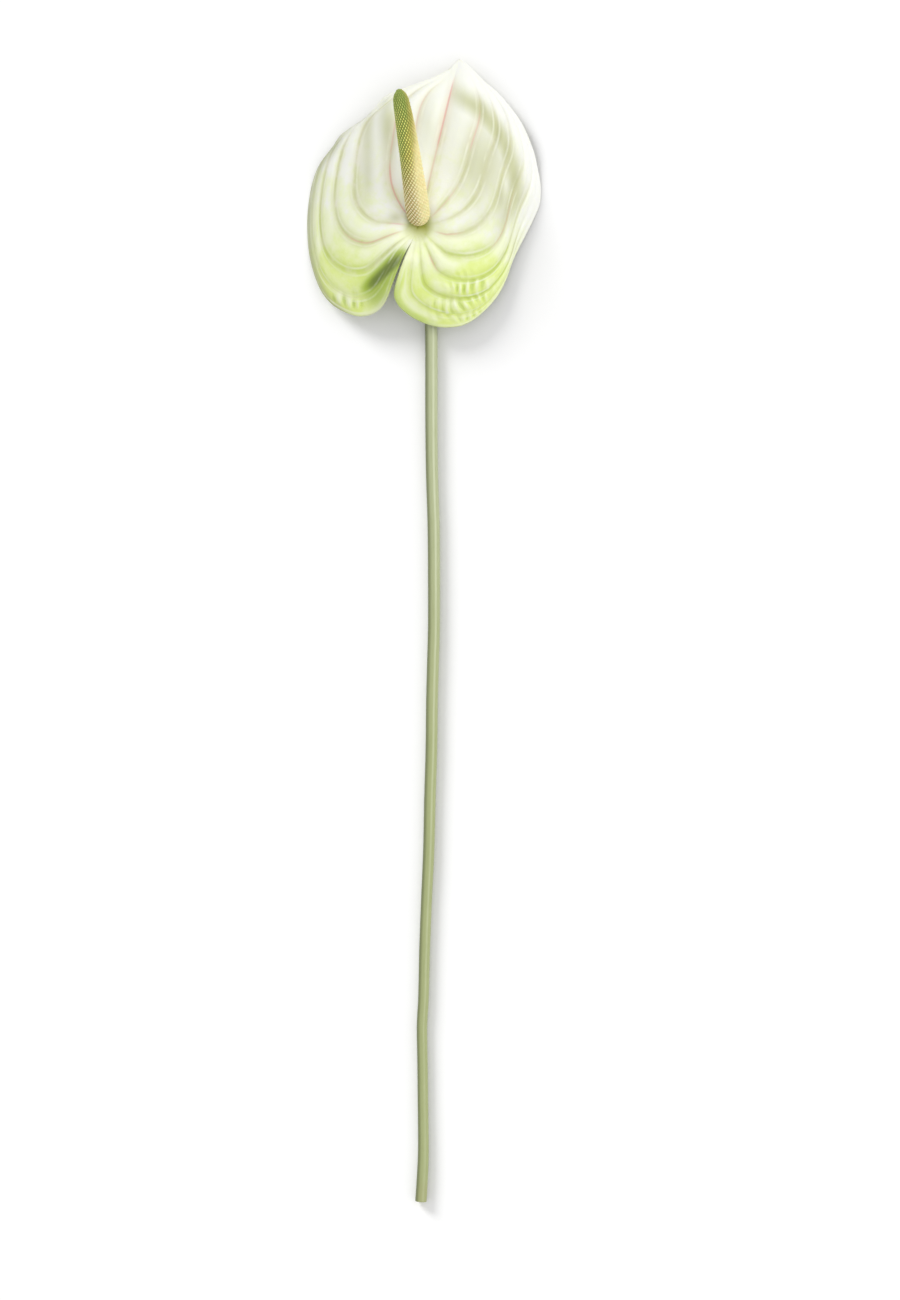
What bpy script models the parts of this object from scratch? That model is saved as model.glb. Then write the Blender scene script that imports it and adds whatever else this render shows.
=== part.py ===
"""One cut anthurium stem lying face up on a surface: long stem, heart-shaped spathe, spadix."""

import math

import bpy
import numpy as np
from mathutils.geometry import delaunay_2d_cdt

# All lengths are in millimetres until the meshes are made. The origin of the working frame is where the
# stem meets the spathe, seen from above; +Y points to the tip and +Z up from the surface.
MM = 0.001

# Margin of the spathe from the tip round to the apex of the notch: x, y and height of the margin.
LEFT_MARGIN = (
    (21.3, 88.6, 6.5), (18.9, 86.3, 6.9), (16.2, 83.0, 7.6), (11.5, 80.1, 8.4), (5.2, 77.5, 9.4),
    (-6.3, 73.4, 10.6), (-13.5, 70.7, 10.9), (-18.7, 67.6, 10.2), (-26.0, 59.3, 8.0), (-33.3, 53.1, 6.6),
    (-40.5, 48.9, 5.4), (-45.2, 42.3, 4.2), (-51.9, 33.3, 2.6), (-55.6, 24.0, 1.5), (-57.6, 13.6, 0.9),
    (-58.4, 3.2, 0.8), (-58.0, -8.2, 1.4), (-56.6, -17.6, 2.6), (-53.5, -28.0, 4.4), (-49.9, -35.2, 6.2),
    (-44.7, -40.9, 8.0), (-37.4, -45.1, 9.8), (-31.2, -46.9, 11.4), (-24.9, -46.1, 12.8),
    (-19.8, -43.0, 14.0), (-16.6, -38.4, 15.0), (-14.6, -33.2, 16.0), (-11.1, -23.8, 18.0),
    (-7.5, -15.5, 19.5), (-3.6, -8.2, 20.5),
)
RIGHT_MARGIN = (
    (21.3, 88.6, 6.5), (24.0, 86.9, 6.9), (29.1, 82.2, 7.2), (34.3, 77.0, 7.0), (41.6, 70.7, 6.2),
    (48.8, 62.4, 5.0), (55.1, 53.1, 3.6), (60.3, 40.6, 2.0), (62.8, 30.2, 1.1), (64.2, 21.9, 0.8),
    (63.6, 12.6, 0.8), (60.3, 4.3, 1.2), (55.1, -6.1, 2.2), (49.9, -16.6, 3.6), (45.7, -28.0, 5.2),
    (40.5, -37.3, 6.8), (32.2, -46.1, 8.6), (23.9, -51.3, 10.0), (15.6, -52.7, 11.2), (7.3, -51.9, 12.4),
    (-1.1, -48.7, 13.8), (-7.3, -44.6, 15.2), (-11.2, -40.4, 16.4), (-12.8, -35.2, 17.4),
    (-10.9, -26.9, 18.6), (-7.6, -17.6, 19.6), (-3.6, -8.2, 20.5),
)
LEFT_SINUS_ANGLE = math.radians(165.0)
RIGHT_SINUS_ANGLE = math.radians(181.0)

# Side veins as shares of the way from the midrib to the margin.
LEFT_VEINS = (0.0, 0.18, 0.33, 0.58, 0.72, 0.85, 0.94, 1.0)
RIGHT_VEINS = (0.0, 0.22, 0.36, 0.50, 0.65, 0.77, 0.86, 0.94, 1.0)
ROW_SHARE = 0.05
LAST_ROW = 0.972
# How far the cross lines draw in near the tip, where the margin does the same.
LEFT_TUCK = 6.5
RIGHT_TUCK = 0.0

SPATHE_THICKNESS = 1.0
MARGIN_THICKNESS = 0.75
NAVEL_HEIGHT = 19.0
NAVEL_DEPTH = 4.5
NAVEL_RADIUS = 9.0
FALL_POWER = 2.4
SINUS_RAISE = 4.5
SINUS_RAISE_WIDTH = 6.5
KEEL_DEPTH = 2.6
KEEL_WIDTH = 6.0
WAVE_HEIGHT = 0.9
PILLOW_HEIGHT = 1.7
WRINKLE_HEIGHT = 0.6
WRINKLE_PITCH = 4.9
# Blistered patches of the lobes: x, y, and how far each reaches in x and in y.
WRINKLE_PATCHES = ((19.0, -44.0, 15.0, 6.0), (28.0, -33.0, 12.0, 8.0), (-38.0, -39.5, 10.0, 5.0))
MARGIN_STEP = 2.6
LOBE_MARGIN_STEP = 1.6
ROW_STEP = 3.3
LOBE_ROW_STEP = 1.7
LEAST_GAP = 0.85
LEAST_VEIN_GAP = 0.6

# Centre line of the stem from the spathe to the cut end: x, y, height above the lying height, radius.
STEM_LINE = (
    (0.3, 2.0, 19.5, 4.1), (0.3, -2.0, 14.6, 3.9), (1.2, -7.0, 10.2, 3.6), (2.6, -14.2, 6.4, 3.4),
    (4.2, -24.0, 3.2, 3.3), (5.4, -34.0, 1.3, 3.28), (6.3, -44.0, 0.4, 3.28), (6.7, -54.0, 0.0, 3.28),
    (6.8, -64.0, 0.0, 3.28), (6.8, -84.0, 0.0, 3.28), (6.8, -104.0, 0.0, 3.25), (7.1, -130.0, 0.0, 3.2),
    (7.9, -156.0, 0.0, 3.2), (8.1, -182.0, 0.0, 3.18), (8.1, -208.0, 0.0, 3.15), (7.8, -222.0, 0.0, 3.15),
    (7.1, -248.0, 0.0, 3.12), (6.8, -274.0, 0.0, 3.1), (6.0, -300.0, 0.0, 3.05), (5.4, -327.0, 0.0, 3.0),
    (4.2, -353.0, 0.0, 2.9), (3.2, -379.0, 0.0, 2.85), (2.6, -405.0, 0.0, 2.8), (1.8, -419.0, 0.0, 2.78),
    (2.1, -438.0, 0.0, 2.76), (2.4, -464.0, 0.0, 2.78), (2.6, -484.0, 0.0, 2.85), (2.1, -498.0, 0.0, 2.95),
    (1.3, -511.0, 0.0, 3.05),
)
STEM_SIDES = 16
STEM_STEP = 12.0
BEND_STEP = 3.5
BEND_END = -60.0
CUT_ROUNDING = 0.35
CUT_SLOPE = 0.12

# Centre line of the spadix as four points of a smooth bend, and its radius along the way.
SPADIX_BEND = ((0.2, 4.6, 20.3), (-1.0, 12.5, 35.0), (-5.0, 44.0, 50.0), (-9.4, 69.5, 54.0))
SPADIX_RADIUS = (
    (0.0, 5.3), (0.05, 5.8), (0.15, 5.9), (0.35, 5.45), (0.55, 5.0), (0.75, 4.55), (0.88, 4.05),
    (0.94, 3.6), (0.975, 2.8), (0.993, 1.7), (1.0, 0.8),
)
TIP_ROUNDING = 0.35
RINGS_NEAR_LEAF = 16
LEAF_CLEARANCE = 0.5
FLORETS_AROUND = 18
FLORET_RINGS = 58
FLORET_HEIGHT = 0.5
SPADIX_TWIST = 0.9
# Clear gaps between the pieces: at the seams, and over the closed middle of each end.
SEAM_GAP = 0.3
STEM_SEAM_GAP = 0.45
END_GAP = 0.55

UP = np.array((0.0, 0.0, 1.0))


def clear_scene():
    for item in list(bpy.data.objects):
        bpy.data.objects.remove(item, do_unlink=True)


def ease(value, low, high):
    share = np.clip((value - low) / (high - low), 0.0, 1.0)
    return share * share * (3.0 - 2.0 * share)


def smooth_line(points, pieces=12):
    """A rounded curve through the points, with many short steps."""
    points = np.array(points, float)
    before = np.vstack((2 * points[0] - points[1], points[:-1]))
    after = np.vstack((points[1:], 2 * points[-1] - points[-2]))
    line = []
    for index in range(len(points) - 1):
        first, second = points[index], points[index + 1]
        pull_in = (after[index] - before[index]) / 2
        pull_out = (after[index + 1] - before[index + 1]) / 2
        for piece in range(pieces):
            t = piece / pieces
            line.append(
                (2 * t**3 - 3 * t**2 + 1) * first
                + (t**3 - 2 * t**2 + t) * pull_in
                + (3 * t**2 - 2 * t**3) * second
                + (t**3 - t**2) * pull_out
            )
    line.append(points[-1])
    return np.array(line)


def lengths_along(line):
    steps = np.linalg.norm(np.diff(line[:, :3], axis=0), axis=1)
    return np.concatenate(([0.0], np.cumsum(steps)))


class Half:
    """One side of the spathe, with its margin seen from the point where the stem is joined."""

    def __init__(self, margin, side, sinus_angle, veins, tuck):
        line = smooth_line(margin)
        tip = np.array(margin[0])
        self.side = side
        self.veins = veins
        self.length = math.hypot(tip[0], tip[1])
        self.midrib_angle = math.atan2(tip[1], tip[0])
        turn = side * (np.arctan2(line[:, 1], line[:, 0]) - self.midrib_angle)
        self.angle = np.where(turn < -0.5, turn + 2 * math.pi, turn)
        self.angle[0] = 0.0
        self.radius = np.hypot(line[:, 0], line[:, 1])
        self.arc = lengths_along(line[:, :2])
        self.end_angle = self.angle[-1]
        start = int(np.argmax(self.angle >= sinus_angle))
        share = self.angle / self.end_angle
        rest = (self.arc - self.arc[start]) / (self.arc[-1] - self.arc[start])
        share = np.where(rest > 0, share[start] + (1 - share[start]) * rest, share)
        self.share = np.maximum.accumulate(share)
        degrees = np.degrees(self.angle)
        near_tip = (1 - np.exp(-degrees / 5.0)) * np.exp(-(((degrees - 5.0) / 28.0) ** 2))
        self.root = self.length * (1 - self.share) - tuck * near_tip
        # Towards the tip the side veins drift out to the margin.
        self.drift = 1 + np.log1p(np.exp((80.0 - degrees) / 8.0)) * 8.0 / 75.0
        outer = np.maximum.accumulate(self.angle[: start + 1])
        self.edge_angle = outer + 1e-9 * np.arange(len(outer))
        self.edge_radius = self.radius[: start + 1]
        self.edge_height = line[: start + 1, 2]

    def place(self, lateral, arc):
        """Plan angle and distance of the point this far across and this far along the margin."""
        lateral = 1 - (1 - lateral) ** np.interp(arc, self.arc, self.drift)
        angle = np.interp(arc, self.arc, self.angle)
        reach = np.interp(arc, self.arc, self.radius)
        root = np.interp(arc, self.arc, self.root)
        blend = 0.6 * lateral + 0.4 * lateral**3
        return lateral * angle, (1 - blend) * root + blend * reach

    def plan(self, turn, reach):
        angle = self.midrib_angle + self.side * turn
        return np.stack((reach * np.cos(angle), reach * np.sin(angle)), axis=-1)

    def form(self, turn, reach):
        """Height of the middle surface without veins."""
        edge = np.interp(turn, self.edge_angle, self.edge_radius)
        edge_height = np.interp(turn, self.edge_angle, self.edge_height)
        out = np.clip(reach / edge, 0.0, 1.05)
        crown = NAVEL_HEIGHT + NAVEL_DEPTH * (1 - np.exp(-((reach / NAVEL_RADIUS) ** 2)))
        fall = out**FALL_POWER
        height = crown * (1 - fall) + edge_height * fall
        from_sinus = np.maximum(self.end_angle - turn, 0.0) * reach
        along_sinus = ease(reach, 7.0, 20.0) * (1 - ease(reach, 38.0, 52.0))
        height += SINUS_RAISE * np.exp(-((from_sinus / SINUS_RAISE_WIDTH) ** 2)) * along_sinus
        from_midrib = turn * reach
        keel = np.exp(-((from_midrib / KEEL_WIDTH) ** 1.2)) * ease(reach, 25.0, 75.0)
        height -= KEEL_DEPTH * keel
        wave = np.sin(4.7 * turn + 1.3 * self.side) + 0.5 * np.sin(9.1 * turn + 2.0)
        height += WAVE_HEIGHT * wave * out**6 * ease(turn, 0.15, 0.5) * (1 - ease(turn, 1.2, 1.5))
        return height

    def relief(self, lateral, arc, plan):
        """Pillows raised between the veins, and the fine wrinkles across them in the lobes."""
        reach = np.hypot(plan[:, 0], plan[:, 1])
        share = np.interp(arc, self.arc, self.share)
        last = len(self.veins) - 2
        band = np.clip(np.searchsorted(self.veins, lateral, side="right") - 1, 0, last)
        low = np.array(self.veins)[band]
        high = np.array(self.veins)[band + 1]
        across = np.clip((lateral - low) / (high - low), 0.0, 1.0)
        pillow = 1 - np.abs(2 * across - 1) ** 2.4
        width = np.clip((high - low) * reach / 9.0, 0.0, 1.0)
        middle = ease(reach, 4.0, 20.0) * ease(share, 0.02, 0.16) * (band < last)
        swell = 1 + 0.25 * np.sin(arc / 10.0 + 2.6 * band)
        height = PILLOW_HEIGHT * pillow * middle * (0.35 + 0.65 * width) * swell
        patch = np.zeros(len(plan))
        for x, y, wide, deep in WRINKLE_PATCHES:
            away = ((plan[:, 0] - x) / wide) ** 2 + ((plan[:, 1] - y) / deep) ** 2
            patch = np.maximum(patch, np.exp(-(away**1.5)))
        sway = 1.4 * np.sin(arc / 8.3 + 1.7 * band)
        wrinkle = np.sin(2 * math.pi * arc / WRINKLE_PITCH + 2.1 * band + sway)
        return height + WRINKLE_HEIGHT * wrinkle * patch * pillow * (band < last)


def halves():
    left = Half(LEFT_MARGIN, 1, LEFT_SINUS_ANGLE, LEFT_VEINS, LEFT_TUCK)
    right = Half(RIGHT_MARGIN, -1, RIGHT_SINUS_ANGLE, RIGHT_VEINS, RIGHT_TUCK)
    return left, right


def row_positions(half, lateral):
    """Distances along the margin at which this row gets a point, closer together in the lobes."""
    arcs = np.linspace(0.0, half.arc[-1], 600)
    plan = half.plan(*half.place(lateral, arcs))
    walked = lengths_along(plan)
    share = np.interp(arcs, half.arc, half.share)
    lobe = ease(share, 0.46, 0.56) * ease(lateral, 0.4, 0.6)
    on_margin = lateral == 1.0
    coarse = MARGIN_STEP if on_margin else ROW_STEP
    fine = LOBE_MARGIN_STEP if on_margin else LOBE_ROW_STEP
    step = coarse + (fine - coarse) * lobe
    count = np.concatenate(([0.0], np.cumsum(np.diff(walked) / step[1:])))
    whole = max(int(round(count[-1])), 4)
    return np.interp(np.linspace(0.0, count[-1], whole + 1), count, arcs)


def margin_gap(ring, spot):
    """Distance from a plan point to the closed margin."""
    ends = np.roll(ring, -1, axis=0) - ring
    share = np.clip(((spot - ring) * ends).sum(axis=1) / (ends**2).sum(axis=1), 0.0, 1.0)
    return np.linalg.norm(ring + share[:, None] * ends - spot, axis=1).min()


def spathe_layout():
    """Plan points of the spathe with their place on the leaf, and the lines that join them."""
    points, places, links, outline = [], [], [], []

    def add(half, lateral, arc, least):
        turn, reach = half.place(lateral, arc)
        plan = half.plan(turn, reach)
        if least > 0:
            if turn < half.edge_angle[-1] and reach > np.interp(turn, half.edge_angle, half.edge_radius):
                return None
            gaps = np.linalg.norm(np.array(points) - plan, axis=1)
            if gaps.min() < least or margin_gap(np.array(points)[outline], plan) < least:
                return None
        points.append(plan)
        places.append((half.side, lateral, arc, turn, reach))
        return len(points) - 1

    left, right = halves()
    outline += [add(left, 1.0, arc, 0) for arc in row_positions(left, 1.0)]
    outline += [add(right, 1.0, arc, 0) for arc in row_positions(right, 1.0)[-2:0:-1]]
    links += [(outline[i], outline[(i + 1) % len(outline)]) for i in range(len(outline))]
    for half in (left, right):
        # The veins get their points first, and the rows between them fill what is left.
        veins = half.veins[1:-1] + ((0.0,) if half is left else ())
        between = [LAST_ROW]
        for low, high in zip(half.veins[:-2], half.veins[1:-1]):
            count = max(int(round((high - low) / ROW_SHARE)), 3)
            between += list(np.linspace(low, high, count + 1)[1:-1])
        rows = [(lateral, LEAST_VEIN_GAP) for lateral in sorted(veins)]
        rows += [(lateral, LEAST_GAP) for lateral in sorted(between)]
        for lateral, least in rows:
            last = None
            for arc in row_positions(half, lateral):
                here = add(half, lateral, arc, least)
                if here is not None and last is not None:
                    links.append((last, here))
                last = here
    return (left, right), np.array(points), np.array(places), links, outline


class Spathe:
    """The leaf as triangles seen from above, with the two faces at the ends of a thickness vector."""

    def __init__(self):
        self.sides, plan, places, links, self.outline = spathe_layout()
        made, _, faces, *_ = delaunay_2d_cdt([tuple(p) for p in plan], links, [], 1, 1e-5)
        if len(made) != len(plan):
            raise ValueError("the rows of the spathe cross each other")
        self.faces = np.array([face if self.faces_up(plan, face) else face[::-1] for face in faces])
        self.form = np.empty(len(plan))
        relief = np.empty(len(plan))
        for half in self.sides:
            own = places[:, 0] == half.side
            _, lateral, arc, turn, reach = places[own].T
            self.form[own] = half.form(turn, reach)
            relief[own] = half.relief(lateral, arc, plan[own])
        smooth = np.column_stack((plan, self.form))
        normal = self.normals(smooth)
        share = np.abs(places[:, 1]) * ease(places[:, 4], 10.0, 40.0)
        thickness = SPATHE_THICKNESS + (MARGIN_THICKNESS - SPATHE_THICKNESS) * share
        middle = smooth + relief[:, None] * UP
        half_wall = 0.5 * thickness[:, None] * normal
        self.top = middle + half_wall
        self.bottom = middle - half_wall
        self.settle()

    @staticmethod
    def faces_up(plan, face):
        first, second, third = plan[list(face)]
        a, b = second - first, third - first
        return a[0] * b[1] - a[1] * b[0] > 0

    def normals(self, points):
        first, second, third = (points[self.faces[:, k]] for k in range(3))
        across = np.cross(second - first, third - first)
        total = np.zeros_like(points)
        for k in range(3):
            np.add.at(total, self.faces[:, k], across)
        return total / np.linalg.norm(total, axis=1)[:, None]

    def settle(self):
        """Tips and lowers the leaf until its left and right margins both touch the surface."""
        for _ in range(3):
            low_left = min(self.bottom[self.bottom[:, 0] < 0], key=lambda p: p[2])
            low_right = min(self.bottom[self.bottom[:, 0] > 0], key=lambda p: p[2])
            slope = (low_right[2] - low_left[2]) / (low_right[0] - low_left[0])
            for points in (self.top, self.bottom):
                points[:, 2] -= low_left[2] + slope * (points[:, 0] - low_left[0])

    def mesh(self):
        count = len(self.top)
        faces = [tuple(face) for face in self.faces]
        faces += [tuple(count + corner for corner in face[::-1]) for face in self.faces]
        ring = self.outline
        for here, there in zip(ring, ring[1:] + ring[:1]):
            faces += [(here, here + count, there + count), (here, there + count, there)]
        return np.vstack((self.top, self.bottom)), faces

    def height_at(self, points, spot):
        """Height of one face of the leaf over a plan point."""
        first, second, third = (points[self.faces[:, k], :2] for k in range(3))
        a, b, c = second - first, third - first, spot - first
        area = a[:, 0] * b[:, 1] - a[:, 1] * b[:, 0]
        v = (c[:, 0] * b[:, 1] - c[:, 1] * b[:, 0]) / area
        w = (a[:, 0] * c[:, 1] - a[:, 1] * c[:, 0]) / area
        hit = int(np.argmax(np.minimum(np.minimum(v, w), 1 - v - w)))
        heights = points[self.faces[hit], 2]
        return heights[0] * (1 - v[hit] - w[hit]) + heights[1] * v[hit] + heights[2] * w[hit]


def frame_along(line):
    """Direction, side and raised direction at each point of a centre line."""
    ahead = np.gradient(line, axis=0)
    ahead /= np.linalg.norm(ahead, axis=1)[:, None]
    side = np.cross(ahead, UP)
    side /= np.linalg.norm(side, axis=1)[:, None]
    return ahead, side, np.cross(side, ahead)


def fan(ring, centre, outward):
    """Triangles from a closed ring to a centre point."""
    pairs = zip(ring, ring[1:] + ring[:1])
    if outward:
        return [(here, there, centre) for here, there in pairs]
    return [(there, here, centre) for here, there in pairs]


def stem_mesh(spathe):
    line = smooth_line(STEM_LINE, 8)
    line[:, 2] = np.maximum(line[:, 2], 0.0) + line[:, 3]
    walked = lengths_along(line)
    bend = float(walked[np.argmax(line[:, 1] < BEND_END)])
    close = np.linspace(0.0, bend, int(bend / BEND_STEP) + 1)
    wide = np.linspace(bend, walked[-1], int((walked[-1] - bend) / STEM_STEP) + 1)
    stops = np.concatenate((close, wide[1:]))
    line = np.column_stack([np.interp(stops, walked, line[:, k]) for k in range(4)])
    ahead, side, raised = frame_along(line[:, :3])
    corner = line[:, 3] / math.cos(math.pi / STEM_SIDES)
    turns = (np.arange(STEM_SIDES) + 0.5) * 2 * math.pi / STEM_SIDES
    rings = [
        line[k, :3] + corner[k] * (np.sin(turns)[:, None] * side[k] - np.cos(turns)[:, None] * raised[k])
        for k in range(len(line))
    ]
    # The upper end follows the underside of the leaf, with a seam between them.
    for index in range(STEM_SIDES):
        for _ in range(12):
            here = rings[0][index]
            wanted = spathe.height_at(spathe.bottom, here[:2]) - STEM_SEAM_GAP
            rings[0][index] = here - ahead[0] * (wanted - here[2]) / max(-ahead[0][2], 0.3)
    first_free = next(k for k in range(1, len(rings)) if (rings[k][:, 1] < rings[0][:, 1] - 1.0).all())
    rings = rings[:1] + rings[first_free:]
    # The cut end slopes a little and has a rounded edge.
    end = line[-1, :3]
    slant = ((rings[-1] - end) @ raised[-1])[:, None] * CUT_SLOPE * ahead[-1]
    rings[-1] = rings[-1] + slant
    inner = end + (rings[-1] - end) * (1 - CUT_ROUNDING / corner[-1]) + CUT_ROUNDING * ahead[-1]
    rings.append(inner)
    points = np.vstack(rings)
    points[np.abs(points[:, 2]) < 0.02, 2] = 0.0
    middle_up = rings[0].mean(axis=0)
    middle_up[2] = spathe.height_at(spathe.bottom, middle_up[:2]) - END_GAP
    points = np.vstack((points, middle_up, rings[-1].mean(axis=0)))
    faces = []
    for k in range(len(rings) - 1):
        for j in range(STEM_SIDES):
            here, there = k * STEM_SIDES + j, k * STEM_SIDES + (j + 1) % STEM_SIDES
            faces += [(here, there + STEM_SIDES, there), (here, here + STEM_SIDES, there + STEM_SIDES)]
    faces += fan(list(range(STEM_SIDES)), len(points) - 2, True)
    last = (len(rings) - 1) * STEM_SIDES
    faces += fan(list(range(last, last + STEM_SIDES)), len(points) - 1, False)
    return points, faces


def spadix_mesh(spathe):
    p0, p1, p2, p3 = (np.array(p) for p in SPADIX_BEND)
    t = np.linspace(0.0, 1.0, 400)[:, None]
    bend = (1 - t) ** 3 * p0 + 3 * t * (1 - t) ** 2 * p1 + 3 * t**2 * (1 - t) * p2 + t**3 * p3
    length = lengths_along(bend)[-1]
    walked = lengths_along(bend) / length
    ahead, side, raised = frame_along(bend)
    stops, radii = np.array(SPADIX_RADIUS).T
    profile = np.interp(walked, stops, radii)
    round_off = np.convolve(np.pad(profile, 6, mode="edge"), np.ones(13) / 13, mode="valid")
    columns = 2 * FLORETS_AROUND

    def skin(share, column, raise_by):
        turn = 2 * math.pi * column / columns + SPADIX_TWIST * share
        local = [np.interp(share, walked, values) for values in bend.T]
        sideways = np.array([np.interp(share, walked, values) for values in side.T])
        upward = np.array([np.interp(share, walked, values) for values in raised.T])
        reach = np.interp(share, walked, round_off) + raise_by
        return np.array(local) + reach * (math.sin(turn) * sideways - math.cos(turn) * upward)

    # Each column of florets starts just above the leaf.
    starts = np.zeros(columns)
    for column in range(columns):
        for _ in range(14):
            spot = skin(starts[column], column, 0.0)
            short = spathe.height_at(spathe.top, spot[:2]) + SEAM_GAP - spot[2]
            starts[column] = min(max(starts[column] + short / length, 0.0), 0.3)
    points = []
    for ring in range(FLORET_RINGS + 1):
        way = ring / FLORET_RINGS
        for column in range(columns):
            is_floret = (ring + column) % 2 == 1 and 0 < ring < FLORET_RINGS
            height = FLORET_HEIGHT * (1 - 0.5 * ease(way, 0.85, 1.0)) if is_floret else 0.0
            spot = skin(starts[column] * (1 - way) + way, column, height)
            if ring < RINGS_NEAR_LEAF:
                spot[2] = max(spot[2], spathe.height_at(spathe.top, spot[:2]) + LEAF_CLEARANCE)
            points.append(spot)
    faces = []
    for ring in range(1, FLORET_RINGS + 1):
        for column in range(columns):
            here = ring * columns + column
            after = ring * columns + (column + 1) % columns
            under, under_after = here - columns, after - columns
            if (ring + column) % 2 == 1:
                faces += [(under, here, under_after), (under_after, here, after)]
            else:
                faces += [(under, after, under_after), (under, here, after)]
    base = np.mean(points[:columns], axis=0)
    base[2] = spathe.height_at(spathe.top, base[:2]) + END_GAP
    tip = bend[-1] + ahead[-1] * TIP_ROUNDING
    points += [base, tip]
    faces += fan(list(range(columns)), len(points) - 2, True)
    last = FLORET_RINGS * columns
    faces += fan(list(range(last, last + columns)), len(points) - 1, False)
    return np.array(points), faces


def material(name, colour, roughness):
    made = bpy.data.materials.new(name)
    made.use_nodes = True
    shader = made.node_tree.nodes["Principled BSDF"]
    shader.inputs["Base Color"].default_value = (*colour, 1.0)
    shader.inputs["Roughness"].default_value = roughness
    shader.inputs["Metallic"].default_value = 0.0
    return made


def add_object(name, points, faces, surface, centre):
    mesh = bpy.data.meshes.new(name)
    mesh.from_pydata(((points - centre) * MM).tolist(), [], faces)
    mesh.validate()
    mesh.materials.append(surface)
    mesh.shade_smooth()
    made = bpy.data.objects.new(name, mesh)
    bpy.context.scene.collection.objects.link(made)
    return made


def main():
    clear_scene()
    spathe = Spathe()
    meshes = {"spathe": spathe.mesh(), "stem": stem_mesh(spathe), "spadix": spadix_mesh(spathe)}
    everything = np.vstack([points for points, _ in meshes.values()])
    centre = (everything.min(axis=0) + everything.max(axis=0)) / 2
    centre[2] = 0.0
    surfaces = {
        "spathe": material("spathe_surface", (0.80, 0.84, 0.66), 0.32),
        "stem": material("stem_surface", (0.33, 0.38, 0.16), 0.42),
        "spadix": material("spadix_surface", (0.62, 0.58, 0.20), 0.6),
    }
    for name, (points, faces) in meshes.items():
        add_object(name, points, faces, surfaces[name], centre)


main()
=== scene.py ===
import math

import bpy
import numpy as np
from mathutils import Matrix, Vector


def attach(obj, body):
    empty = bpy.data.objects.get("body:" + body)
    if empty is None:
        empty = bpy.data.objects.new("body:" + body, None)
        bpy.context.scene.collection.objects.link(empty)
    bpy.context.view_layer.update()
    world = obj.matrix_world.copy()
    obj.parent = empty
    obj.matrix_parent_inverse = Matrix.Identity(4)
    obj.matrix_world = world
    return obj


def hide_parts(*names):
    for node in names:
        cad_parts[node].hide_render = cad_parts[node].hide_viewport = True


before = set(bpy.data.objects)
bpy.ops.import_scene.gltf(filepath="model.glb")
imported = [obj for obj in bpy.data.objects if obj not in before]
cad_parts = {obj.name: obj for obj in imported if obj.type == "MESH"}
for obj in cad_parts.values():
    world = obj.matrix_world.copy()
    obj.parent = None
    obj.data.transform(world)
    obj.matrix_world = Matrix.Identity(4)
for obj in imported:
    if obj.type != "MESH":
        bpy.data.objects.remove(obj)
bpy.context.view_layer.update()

# Lengths in the tables are millimetres in a working frame whose origin is where the stem meets the
# spathe, seen from above. CENTRE is the middle of the whole flower in that frame.
MM = 0.001
CENTRE = np.array((2.9131, -211.4696, 0.0))
UP = np.array((0.0, 0.0, 1.0))

# The margins of the spathe from the tip round to the notch: x, y and height above the surface.
LEFT_MARGIN = (
    (21.3, 88.6, 6.5), (18.9, 86.3, 6.9), (16.2, 83.0, 7.6), (11.5, 80.1, 8.4), (5.2, 77.5, 9.4),
    (-6.3, 73.4, 10.6), (-13.5, 70.7, 10.9), (-18.7, 67.6, 10.2), (-26.0, 59.3, 8.0), (-33.3, 53.1, 6.6),
    (-40.5, 48.9, 5.4), (-45.2, 42.3, 4.2), (-51.9, 33.3, 2.6), (-55.6, 24.0, 1.5), (-57.6, 13.6, 0.9),
    (-58.4, 3.2, 0.8), (-58.0, -8.2, 1.4), (-56.6, -17.6, 2.6), (-53.5, -28.0, 4.4), (-49.9, -35.2, 6.2),
    (-44.7, -40.9, 8.0), (-37.4, -45.1, 9.8), (-31.2, -46.9, 11.4), (-24.9, -46.1, 12.8),
    (-19.8, -43.0, 14.0), (-16.6, -38.4, 15.0), (-14.6, -33.2, 16.0), (-11.1, -23.8, 18.0),
    (-7.5, -15.5, 19.5), (-3.6, -8.2, 20.5),
)
RIGHT_MARGIN = (
    (21.3, 88.6, 6.5), (24.0, 86.9, 6.9), (29.1, 82.2, 7.2), (34.3, 77.0, 7.0), (41.6, 70.7, 6.2),
    (48.8, 62.4, 5.0), (55.1, 53.1, 3.6), (60.3, 40.6, 2.0), (62.8, 30.2, 1.1), (64.2, 21.9, 0.8),
    (63.6, 12.6, 0.8), (60.3, 4.3, 1.2), (55.1, -6.1, 2.2), (49.9, -16.6, 3.6), (45.7, -28.0, 5.2),
    (40.5, -37.3, 6.8), (32.2, -46.1, 8.6), (23.9, -51.3, 10.0), (15.6, -52.7, 11.2), (7.3, -51.9, 12.4),
    (-1.1, -48.7, 13.8), (-7.3, -44.6, 15.2), (-11.2, -40.4, 16.4), (-12.8, -35.2, 17.4),
    (-10.9, -26.9, 18.6), (-7.6, -17.6, 19.6), (-3.6, -8.2, 20.5),
)
# Turns from the midrib at which the margins run into the notch.
LEFT_SINUS_ANGLE = math.radians(165.0)
RIGHT_SINUS_ANGLE = math.radians(181.0)
# How far the cross lines draw in beside the tip.
LEFT_TUCK = 6.5
RIGHT_TUCK = 0.0
# Veins as shares of the way from the midrib to the margin. The last share is the margin itself.
LEFT_VEINS = (0.0, 0.18, 0.33, 0.58, 0.72, 0.85, 0.94, 1.0)
RIGHT_VEINS = (0.0, 0.22, 0.36, 0.50, 0.65, 0.77, 0.86, 0.94, 1.0)

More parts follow.
